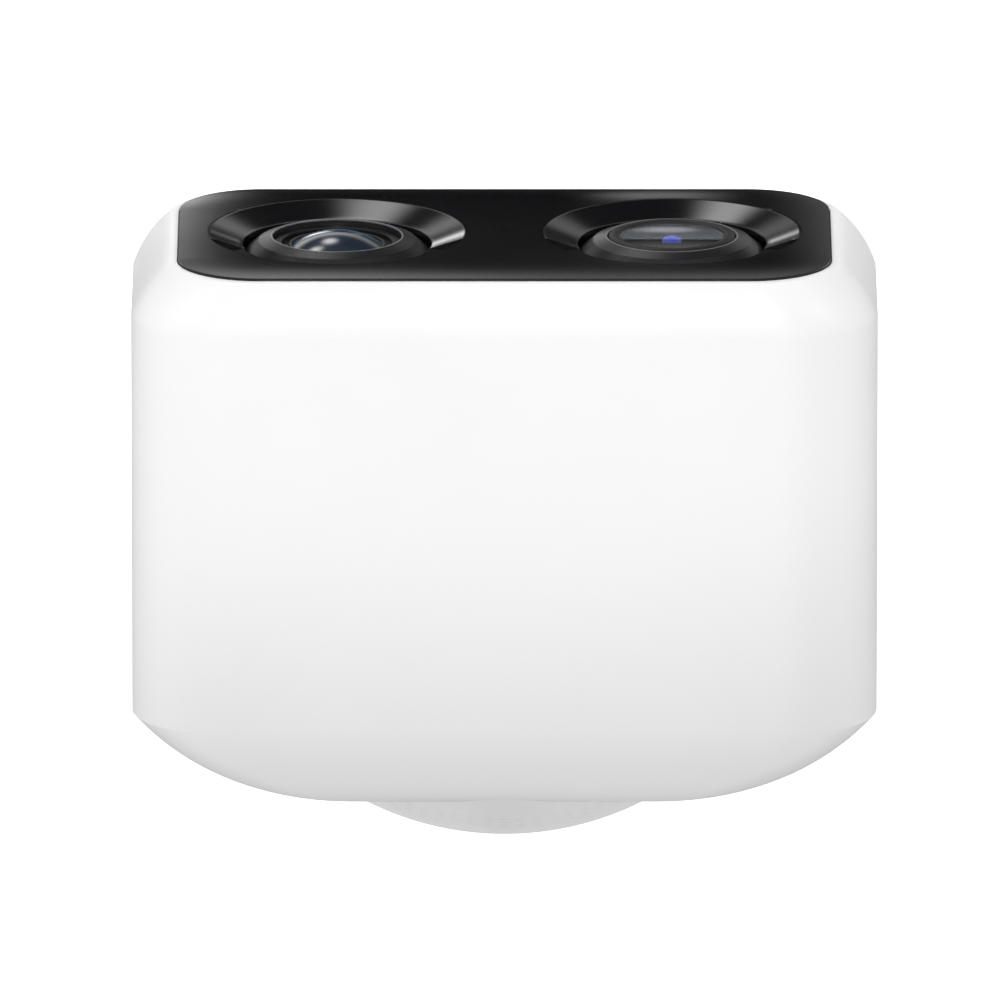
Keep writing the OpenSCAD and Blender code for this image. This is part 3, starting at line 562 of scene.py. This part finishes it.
def spot_light(name, place, aim, reach, blend, power):
    """Round soft-edged beam that covers a circle of radius reach around the aim."""
    data = bpy.data.lights.new(name, "SPOT")
    run = Vector(place) - Vector(aim)
    data.spot_size, data.spot_blend = 2 * math.atan(reach / run.length), blend
    data.shadow_soft_size, data.energy = 0.04, power
    lamp = bpy.data.objects.new(name, data)
    bpy.context.collection.objects.link(lamp)
    lamp.location = place
    lamp.rotation_euler = run.to_track_quat("Z", "Y").to_euler()
    return lamp


def make_light():
    """Soft sky, dim below the horizon with a dark patch, and beams on the front half."""
    world = bpy.data.worlds.new("Studio")
    bpy.context.scene.world = world
    world.use_nodes = True
    tree = world.node_tree
    way = node(tree, "ShaderNodeTexCoord").outputs["Generated"]
    rise = node(tree, "ShaderNodeSeparateXYZ", [("Vector", way)])
    sky = remap(tree, rise.outputs["Z"], -0.45, 0.05, SKY_LOW, SKY_HIGH)
    lean = node(tree, "ShaderNodeVectorMath", [(0, way)], operation="DOT_PRODUCT")
    lean.inputs[1].default_value = SKY_LEAN
    tilted = node(tree, "ShaderNodeMath", [(0, lean.outputs["Value"]), (1, sky), (2, sky)],
                  operation="MULTIPLY_ADD")
    near = node(tree, "ShaderNodeVectorMath", [(0, way)], operation="DOT_PRODUCT")
    near.inputs[1].default_value = DARK_WAY
    patch = remap(tree, near.outputs["Value"], math.cos(math.radians(DARK_REACH)), 1.0, 1.0, 0.0)
    level = node(tree, "ShaderNodeMath", [(0, tilted.outputs["Value"]), (1, patch)],
                 operation="MULTIPLY")
    seen = node(tree, "ShaderNodeMath", [(0, level.outputs["Value"]),
                (1, node(tree, "ShaderNodeLightPath").outputs["Is Camera Ray"])],
                operation="MAXIMUM")
    tree.links.new(seen.outputs["Value"], tree.nodes["Background"].inputs["Strength"])
    tree.nodes["Background"].inputs["Color"].default_value = (1, 1, 1, 1)
    spot_light("Front_beam", (0.03, -0.55, 1.6), (0.01, -0.40, 0.12), 0.41, 0.16, 32)
    spot_light("Left_beam", (1.1, -0.75, 0.55), (0.07, -0.36, 0.08), 0.37, 0.20, 9)
    spot_light("Right_beam", (-1.1, -0.75, 0.55), (-0.07, -0.36, 0.08), 0.37, 0.20, 8)
    card("Card_far_wall", (0.14, -0.84, -0.57), (0, -0.08, 0.06), 0.30, 0.40, 4.0)
    card("Card_right_end", (0.15, -0.245, -0.87), (0, -0.08, 0.08), 0.24, 0.13, 3.5)
    card("Card_dome", (0.41, -0.93, -0.37), (0.03, -0.08, 0.08), 0.40, 0.34, 5.0)
    card("Card_rim_far", (0.0, -0.48, -0.75), (0, -0.08, 0.115), 2.0, 0.34, 0.55)
    card("Card_rim_near", (0.07, -0.150, -0.064), (0.07, -0.083, 0.115), 0.18, 0.045, 0.5)
    card("Card_tele", (-0.0334, -0.188, -0.41), (-0.0334, -0.083, 0.08), 0.04, 0.04, 0.7)
    card("Card_left_edge", (0.105, -0.125, -0.06), (0.07, -0.083, 0.08), 0.10, 0.16, 0.5)
    card("Card_right_edge", (-0.105, -0.125, -0.06), (-0.07, -0.083, 0.08), 0.09, 0.16, 0.5)
    settings = bpy.context.scene.view_settings
    settings.view_transform = "Standard"
    settings.look = "None"


make_camera()
make_floor()
make_light()


# ---------------------------------------------------------------- head

FRONT_HALF = Vector((PANEL.x / 2 + 0.85 * MM, 0, PANEL.z / 2 + 0.85 * MM))
SIDE_HALF = Vector((HEAD.x / 2, 0, HEAD.z / 2))
BULGE_LEN = 11.8 * MM
BULGE_R = 23 * MM
REAR_R = 55.2 * MM
REAR_FLAT = 33.1 * MM
EDGE_R = 20 * MM
LONG_EDGE_R = 20 * MM
REAR_START = HEAD.y - REAR_R + math.sqrt(REAR_R ** 2 - (SIDE_HALF.x - REAR_FLAT) ** 2)


def bulge_centre():
    """Centre of the arc that swells the sides behind the panel, as (half width, depth)."""
    run = Vector((SIDE_HALF.x - FRONT_HALF.x, BULGE_LEN))
    off = math.sqrt(BULGE_R ** 2 - (run.length / 2) ** 2)
    return Vector((FRONT_HALF.x, 0)) + run / 2 + Vector((-run.y, run.x)).normalized() * off


def half_width(depth):
    centre = bulge_centre()
    if depth < BULGE_LEN:
        return centre.x + math.sqrt(BULGE_R ** 2 - (depth - centre.y) ** 2)
    if depth <= REAR_START:
        return SIDE_HALF.x
    return REAR_FLAT + math.sqrt(max(0, REAR_R ** 2 - (depth - HEAD.y + REAR_R) ** 2))


def half_height(depth):
    if depth < BULGE_LEN:
        return SIDE_HALF.z - (SIDE_HALF.z - FRONT_HALF.z) * (1 - depth / BULGE_LEN) ** 2
    if depth <= HEAD.y - EDGE_R:
        return SIDE_HALF.z
    return SIDE_HALF.z - EDGE_R + math.sqrt(max(0, EDGE_R ** 2 - (depth - HEAD.y + EDGE_R) ** 2))


def round_top(piece, radius):
    """Rounds the two upper corners of a plate that stands in the xz plane."""
    only(piece)
    bpy.ops.object.mode_set(mode="EDIT")
    pick_edges(piece, lambda a, b: abs(a.x - b.x) < 1e-6 and abs(a.z - b.z) < 1e-6
               and a.z > (FLAP_LO.z + FLAP_HI.z) / 2)
    bpy.ops.mesh.bevel(offset=radius, segments=12, profile=0.5)
    bpy.ops.object.mode_set(mode="OBJECT")
    return piece


def make_housing():
    """A box with rounded long edges, sliced across and each slice drawn in."""
    piece = rounded_plate("Housing_shell", HEAD.x, HEAD.z, LONG_EDGE_R, FACE_Y, HEAD_HI.y, 24)
    stations = [BULGE_LEN * i / 12 for i in range(1, 13)] + [REAR_START]
    stations += [HEAD.y - EDGE_R + EDGE_R * math.sin(math.radians(3.75 * i)) for i in range(24)]
    only(piece)
    bpy.ops.object.mode_set(mode="EDIT")
    for depth in stations:
        bpy.ops.mesh.select_all(action="SELECT")
        bpy.ops.mesh.bisect(plane_co=(0, FACE_Y + depth, 0), plane_no=(0, 1, 0))
    for depth in [0.0, *stations, HEAD.y]:
        y = FACE_Y + depth
        pick_edges(piece, lambda a, b: abs(a.y - y) < 1e-6 and abs(b.y - y) < 1e-6)
        bpy.ops.transform.resize(
            value=(half_width(depth) / SIDE_HALF.x, 1, half_height(depth) / SIDE_HALF.z),
            center_override=(0, y, MID_Z))
    pick_edges(piece, lambda a, b: abs(a.y - FACE_Y) < 1e-6 and abs(b.y - FACE_Y) < 1e-6)
    bpy.ops.transform.translate(value=(0, PROUD, 0))
    bpy.ops.object.mode_set(mode="OBJECT")
    # seat of the panel, then the way in behind it
    seat_y = PANEL_HI.y + 0.6 * MM
    gap = 0.15 * MM
    seat = rounded_plate("Seat", PANEL.x + 2 * gap, PANEL.z + 2 * gap, PANEL_R + gap,
                         FACE_Y - 5 * MM, seat_y)
    way = rounded_plate("Way", PANEL.x - 8 * MM, PANEL.z - 8 * MM, PANEL_R - 4 * MM,
                        FACE_Y, FACE_Y + 30 * MM)
    cut(piece, seat, way)
    # seat of the flap
    room = Vector((FLAP_LIP, FLAP_LIP, FLAP_LIP))
    pocket = box("Pocket", FLAP_LO - room, FLAP_HI + room + Vector((0, 5 * MM, 0)))
    cut(piece, round_top(pocket, FLAP_CORNER + FLAP_LIP))
    # button hole and card slot behind the flap
    low, high = span("reset_button")
    cut(piece, drum("Button_hole", BUTTON_HOLE_R, high.y - low.y + 2 * MM,
                    ((low.x + high.x) / 2, (low.y + high.y) / 2, (low.z + high.z) / 2),
                    (0, 1, 0), 48))
    low, high = span("memory_card")
    room = Vector((FLAP_LIP, 2 * MM, FLAP_LIP))
    cut(piece, box("Card_slot", low - room, high + room))
    # thumb notch
    notch_r = (NOTCH_HALF ** 2 + NOTCH_DEPTH ** 2) / (2 * NOTCH_DEPTH)
    hub = Vector((0, HEAD_HI.y - EDGE_R, HEAD_HI.z - EDGE_R))
    outwards = Vector((0, math.cos(NOTCH_TILT), math.sin(NOTCH_TILT)))
    cut(piece, drum("Notch", notch_r, 24 * MM, hub + outwards * (EDGE_R - NOTCH_DEPTH + notch_r),
                    along=(0, -math.sin(NOTCH_TILT), math.cos(NOTCH_TILT)), sides=360))
    soften(piece, 0.25 * MM, 2, 50)
    return finish_piece(piece, "head", "housing_white", MATERIALS["housing_white"], "housing",
                        angle=30)


def make_panel():
    """Glossy crowned plate with two round openings and the microphone hole."""
    piece = rounded_plate("Lens_panel", PANEL.x, PANEL.z, PANEL_R, FACE_Y + CROWN, PANEL_HI.y, 24)
    only(piece)
    bpy.ops.object.mode_set(mode="EDIT")
    pick_faces(piece, lambda centre, normal: normal.y < -0.9)
    for i in range(CROWN_STEPS):
        outer, inner = 1 - i / CROWN_STEPS, 1 - (i + 1) / CROWN_STEPS
        bpy.ops.mesh.inset(thickness=CROWN_BAND / CROWN_STEPS,
                           depth=CROWN * (outer ** 3 - inner ** 3))
    bpy.ops.object.mode_set(mode="OBJECT")
    for x in (LENS_X, -LENS_X):
        cut(piece, drum("Opening", RECESS_R, 20 * MM, (x, FACE_Y, LENS_Z), (0, 1, 0), 192))
    cut(piece, drum("Mic_hole", 0.7 * MM, 20 * MM, (0, FACE_Y, LENS_Z), (0, 1, 0), 48))
    soften(piece, 0.16 * MM, 3, 50)
    return finish_piece(piece, "head", "panel_black", MATERIALS["panel_black"], "front_panel",
                        angle=20)


def lens_place(side):
    return (side * LENS_X, FACE_Y, LENS_Z)


def on_lens(name, profile, side, **turning):
    """Piece turned about a lens axis from a profile of (radius, height) in millimetres."""
    return turned(name, [(r * MM, h * MM) for r, h in profile], lens_place(side), FORWARD,
                  **turning)


def ball_cap(radius, rim, rise, steps):
    """Points of a shallow cap, in millimetres, from its rim to its crown."""
    ball = (radius ** 2 + rise ** 2) / (2 * rise)
    reach = math.asin(radius / ball)
    turns = [reach * (1 - i / steps) for i in range(1, steps + 1)]
    return [(ball * math.sin(a), rim + rise - ball + ball * math.cos(a)) for a in turns]


def make_reflector(side, name, stands_for):
    """Glossy funnel around the far side of a lens, with a rounded lip."""
    outer = RECESS_R - 0.1 * MM
    foot = -5.6 * MM
    profile = [(outer, -0.15 * MM), (outer - 0.1 * MM, -0.05 * MM), (outer - 0.3 * MM, -0.04 * MM),
               (outer - 0.5 * MM, -0.12 * MM)]
    for i in range(1, 9):
        t = i / 8
        profile.append((outer - 0.5 * MM - t * (outer - 0.5 * MM - FUNNEL_R - 0.3 * MM),
                        -0.12 * MM - t * (FUNNEL_DEPTH - 0.2 * MM)))
    profile += [(FUNNEL_R + 0.1 * MM, -FUNNEL_DEPTH + 0.08 * MM), (FUNNEL_R, -FUNNEL_DEPTH),
                (FUNNEL_R, foot), (outer, foot)]
    piece = turned(name, profile, lens_place(side), FORWARD, 180 - FUNNEL_OVER,
                   180 + 2 * FUNNEL_OVER, 112, closed=True)
    soften(piece, 0.06 * MM, 2, 50)
    return finish_piece(piece, "head", "reflector_black", MATERIALS["reflector_black"], stands_for)


def make_bezel(side, name, stands_for):
    """Conical ring whose top rises to the lens opening."""
    profile = [(12.9, -7.0), (12.9, -1.15), (13.02, -0.98), (13.2, -0.9), (15.65, -1.78),
               (15.85, -1.9), (15.98, -2.06), (18.05, -3.68), (18.2, -3.9), (18.2, -7.0)]
    piece = on_lens(name, profile, side, closed=True)
    return finish_piece(piece, "head", "bezel_charcoal", MATERIALS["bezel_charcoal"], stands_for)


def make_lip(side, name):
    """Thin edge on the inner rim of a bezel, coloured light grey as a painted highlight."""
    profile = [(12.9, -1.3), (12.9, -0.95), (12.98, -0.86), (13.12, -0.84), (13.24, -0.9),
               (13.2, -1.3)]
    piece = on_lens(name, profile, side, closed=True)
    return finish_piece(piece, "head", "bezel_charcoal", MATERIALS["bezel_lip"])


def make_window(side, name, stands_for):
    profile = [(19.2, -2.4), (25.7, -2.4), (25.7, -4.6), (24.9, -4.6), (24.9, -3.6), (19.2, -3.6)]
    piece = on_lens(name, profile, side, start=FUNNEL_OVER + 0.5,
                    sweep=180 - 2 * FUNNEL_OVER - 1, steps=96, closed=True)
    soften(piece, 0.08 * MM, 2, 50)
    return finish_piece(piece, "head", "smoked_window", MATERIALS["smoked_window"], stands_for)


def make_dome():
    """Front element of the wide-angle lens."""
    radius, rim = 8.9, -2.9
    profile = [(0.0, rim - 1.6), (radius, rim - 1.6), (radius, rim)]
    profile += ball_cap(radius, rim, 2.8, 24)
    piece = on_lens("Dome_glass", profile, 1, steps=96)
    return finish_piece(piece, "head", "lens_glass", MATERIALS["lens_glass"], "wide_lens")


def make_wide_barrel():
    """Black stepped barrel around the dome."""
    profile = [(8.95, -4.6), (8.95, -2.7), (9.1, -2.5), (9.6, -2.5), (9.75, -2.65), (9.75, -3.3),
               (10.9, -3.3), (11.0, -3.2), (11.0, -2.35), (11.15, -2.2), (12.6, -2.2),
               (12.74, -2.35), (12.74, -16.0), (7.5, -16.0), (7.5, -22.0), (5.0, -22.0),
               (5.0, -4.6)]
    piece = on_lens("Wide_barrel_rings", profile, 1, closed=True)
    return finish_piece(piece, "head", "barrel_black", MATERIALS["barrel_black"], "wide_barrel")


def make_tele_seal():
    profile = [(10.42, -2.3), (10.42, -0.95), (10.6, -0.75), (10.9, -0.62), (11.4, -0.56),
               (12.0, -0.62), (12.5, -0.85), (12.75, -1.2), (12.8, -2.3)]
    piece = on_lens("Tele_rubber_ring", profile, -1, closed=True)
    return finish_piece(piece, "head", "seal_rubber", MATERIALS["seal_rubber"], "tele_seal")


def make_tele_glass():
    """Slightly domed cover glass."""
    radius, rim = 10.38, -1.0
    profile = [(0.0, rim - 0.8), (radius, rim - 0.8), (radius, rim)]
    profile += ball_cap(radius, rim, 0.28, 12)
    piece = on_lens("Flat_glass", profile, -1, steps=128)
    return finish_piece(piece, "head", "cover_glass", MATERIALS["cover_glass"], "tele_glass")


def make_tele_barrel():
    """Black barrel with a wide cup and a raised seat in its middle."""
    cup = -5.6
    profile = [(10.1, cup), (10.1, -2.5), (10.2, -2.4), (12.64, -2.4), (12.74, -2.5), (12.74, -6.9),
               (9.0, -6.9), (9.0, -22.0), (1.2, -22.0), (1.2, -4.1), (2.2, -4.0), (2.6, cup)]
    piece = on_lens("Tele_barrel_cup", profile, -1, steps=96, closed=True)
    return finish_piece(piece, "head", "barrel_black", MATERIALS["barrel_black"], "tele_barrel")


def make_tele_element():
    """Blue-coated element on the seat in the telephoto barrel; its blue colour and glow are a
    painted coat reflection.
    """
    radius, half, middle = 2.4, 1.25, -3.1
    arc = [math.radians(9 * i) for i in range(21)]
    profile = [(radius * math.sin(a), middle - half * math.cos(a)) for a in arc]
    piece = on_lens("Tele_blue_element", profile, -1, steps=64)
    return finish_piece(piece, "head", "lens_glass", MATERIALS["blue_element"])


def make_flap():
    """Silicone flap with soft edges and two rounded upper corners."""
    piece = round_top(box("Flap_pad", FLAP_LO, FLAP_HI), FLAP_CORNER)
    soften(piece, 0.4 * MM, 4, 50)
    return finish_piece(piece, "flap", "flap_white", MATERIALS["flap_white"], "rear_flap")


make_housing()
make_panel()
for side, word in ((1, "Wide"), (-1, "Tele")):
    make_reflector(side, word + "_funnel", word.lower() + "_reflector")
    make_bezel(side, word + "_bezel_ring", word.lower() + "_bezel")
    make_lip(side, word + "_bezel_lip")
    make_window(side, word + "_light_window", word.lower() + "_window")
make_dome()
make_wide_barrel()
make_tele_seal()
make_tele_glass()
make_tele_barrel()
make_tele_element()
make_flap()


# ---------------------------------------------------------------- base

def make_base():
    """Flat disc with a ring of small slots near its rim."""
    r, wall, edge, hub = BASE.x / 2, BASE_WALL, BASE_EDGE, HUB_R
    top, bottom = BASE_HI.z, BASE_LO.z
    profile = [(r - wall, bottom), (r - 0.3 * MM, bottom), (r, bottom + 0.3 * MM)]
    for i in range(7):
        a = math.radians(15 * i)
        profile.append((r - edge + edge * math.cos(a), BASE_RIM_Z - edge + edge * math.sin(a)))
    flat = r - edge
    slope = (top - BASE_RIM_Z) / (flat - hub)
    rows = [r - d * MM for d in SLOT_ROWS]
    profile += [(x, BASE_RIM_Z + slope * (flat - x)) for x in rows]
    profile += [(hub + 0.4 * MM, top - 0.03 * MM), (hub, top), (12.05 * MM, top),
                (12.05 * MM, 10 * MM), (15 * MM, 10 * MM), (15 * MM, top - wall)]
    profile += [(r - wall - 1 * MM, BASE_RIM_Z - wall), (r - wall, BASE_RIM_Z - wall - 1 * MM)]
    piece = turned("Base_shell", profile, (0, 0, 0), UP, steps=4 * SLOT_COUNT, closed=True)
    middles = [(a + b) / 2 for a, b in zip(rows[0::2], rows[1::2])]

    def in_slot(centre, normal):
        if normal.z < 0.9 or centre.z < BASE_RIM_Z - 1 * MM:
            return False
        share = (math.degrees(math.atan2(centre.y, centre.x)) * SLOT_COUNT / 360) % 1
        radius = math.hypot(centre.x, centre.y)
        return 0.25 < share < 0.75 and any(abs(radius - m) < 0.1 * MM for m in middles)

    only(piece)
    bpy.ops.object.mode_set(mode="EDIT")
    pick_faces(piece, in_slot)
    bpy.ops.mesh.inset(thickness=0.04 * MM, depth=-SLOT_DEPTH)
    bpy.ops.object.mode_set(mode="OBJECT")
    for side in (-1, 1):
        seat = drum("Screw_seat", SCREW_SEAT_R, 10 * MM, (side * (r + 3.6 * MM), 0, SCREW_Z),
                    (1, 0, 0))
        hole = drum("Screw_hole", SCREW_HOLE_R, 10 * MM, (side * (r - 1 * MM), 0, SCREW_Z),
                    (1, 0, 0))
        cut(piece, seat, hole)
    return finish_piece(piece, "base", "base_white", MATERIALS["base_white"], "base_cover")


make_base()


# ---------------------------------------------------------------- frame nodes that stay

slots = {row["node"]: row["material_slot"] for row in frame["record"]["subparts"]}
for name, solid in frame["nodes"].items():
    solid.data.materials.clear()
    solid.data.materials.append(MATERIALS[slots[name]])
